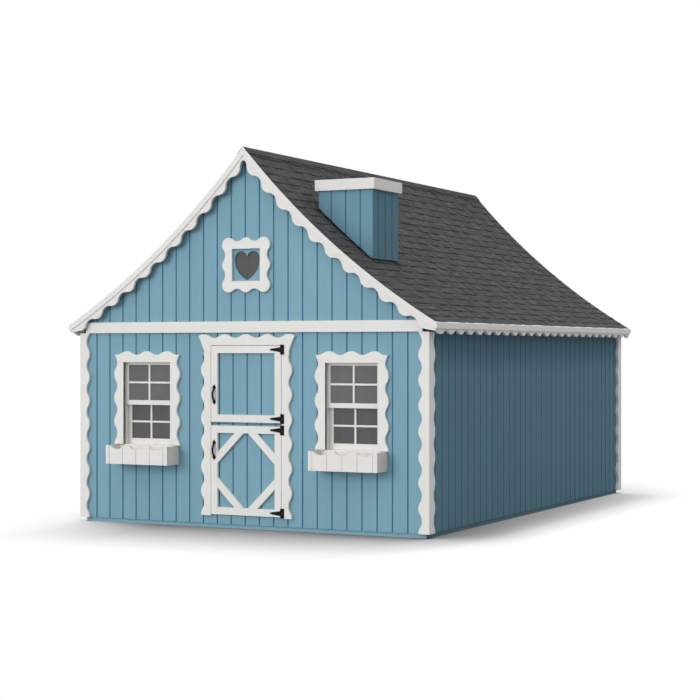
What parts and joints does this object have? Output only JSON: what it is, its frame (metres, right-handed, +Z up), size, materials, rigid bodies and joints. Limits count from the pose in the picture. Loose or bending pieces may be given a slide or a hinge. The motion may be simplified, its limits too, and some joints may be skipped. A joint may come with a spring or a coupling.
{
  "type": "playhouse",
  "caption": "Child-size gabled playhouse on a timber frame: grooved siding, scalloped trim, flared roof, two-leaf door, sliding windows with flower boxes.",
  "frame": {"origin": "middle of the floor's footprint, on the ground, on the underside of the middle floor joist", "axes": "+X to the right seen from the front, +Y from the door wall to the back wall, +Z up"},
  "size_m": [2.633, 3.8787, 2.3947],
  "materials": {
    "blue_siding": "painted satin, dusty blue",
    "white_trim": "painted satin, off-white",
    "raw_wood": "sawn softwood, unfinished",
    "deck_wood": "plywood, unfinished",
    "shingle": "mineral-faced asphalt shingle, charcoal",
    "black_iron": "powder-coated, satin black",
    "window_white": "painted satin, white",
    "glass": "clear pane, dark room behind"
  },
  "bodies": {
    "house": {"floor_joists": "raw_wood", "floor_deck": "deck_wood", "wall_plates": "raw_wood", "side_wall_studs": "raw_wood", "end_wall_studs": "raw_wood", "opening_headers": "raw_wood", "gable_framing": "raw_wood", "front_siding_left": "blue_siding", "front_siding_right": "blue_siding", "front_siding_infill": "blue_siding", "front_gable_siding": "blue_siding", "back_siding": "blue_siding", "back_gable_siding": "blue_siding", "side_siding": "blue_siding", "corner_boards": "white_trim", "frieze_boards": "white_trim", "rafters": "raw_wood", "ridge_board": "raw_wood", "collar_ties": "raw_wood", "roof_deck": "raw_wood", "roof_shingles": "shingle", "ridge_cap": "shingle", "fascia_backers": "raw_wood", "eave_soffits": "white_trim", "eave_trim": "white_trim", "eave_strips": "white_trim", "rake_trim": "white_trim", "rake_strips": "white_trim", "door_jambs": "white_trim", "door_casing": "white_trim", "hinge_plates": "black_iron", "hinge_pins": "black_iron", "hinge_plate_screws": "black_iron", "window_frames": "window_white", "upper_sashes": "window_white", "upper_panes": "glass", "window_casings": "white_trim", "left_flower_box": "white_trim", "right_flower_box": "white_trim", "heart_frame": "white_trim", "heart_panel": "blue_siding", "heart_pane": "glass", "chimney_walls": "blue_siding", "chimney_posts": "raw_wood", "chimney_cap": "white_trim"},
    "upper_leaf": {"upper_leaf_panel": "blue_siding", "upper_leaf_trim": "white_trim", "upper_hinge_straps": "black_iron", "upper_leaf_screws": "black_iron", "upper_handle": "black_iron"},
    "lower_leaf": {"lower_leaf_panel": "blue_siding", "lower_leaf_trim": "white_trim", "lower_hinge_straps": "black_iron", "lower_leaf_screws": "black_iron", "lower_handle": "black_iron"},
    "left_sash": {"left_lower_sash": "window_white", "left_lower_pane": "glass"},
    "right_sash": {"right_lower_sash": "window_white", "right_lower_pane": "glass"}
  },
  "joints": [
    {"name": "upper_leaf_swing", "type": "hinge", "parent": "house", "child": "upper_leaf", "pos_m": [0.253, -1.8655, 0.907], "axis": [0, 0, 1], "range_deg": [0, 165]},
    {"name": "lower_leaf_swing", "type": "hinge", "parent": "house", "child": "lower_leaf", "pos_m": [0.253, -1.8655, 0.368], "axis": [0, 0, 1], "range_deg": [0, 140]},
    {"name": "left_sash_slide", "type": "slide", "parent": "house", "child": "left_sash", "axis": [0, 0, 1], "range_m": [0, 0.23]},
    {"name": "right_sash_slide", "type": "slide", "parent": "house", "child": "right_sash", "axis": [0, 0, 1], "range_m": [0, 0.23]}
  ]
}
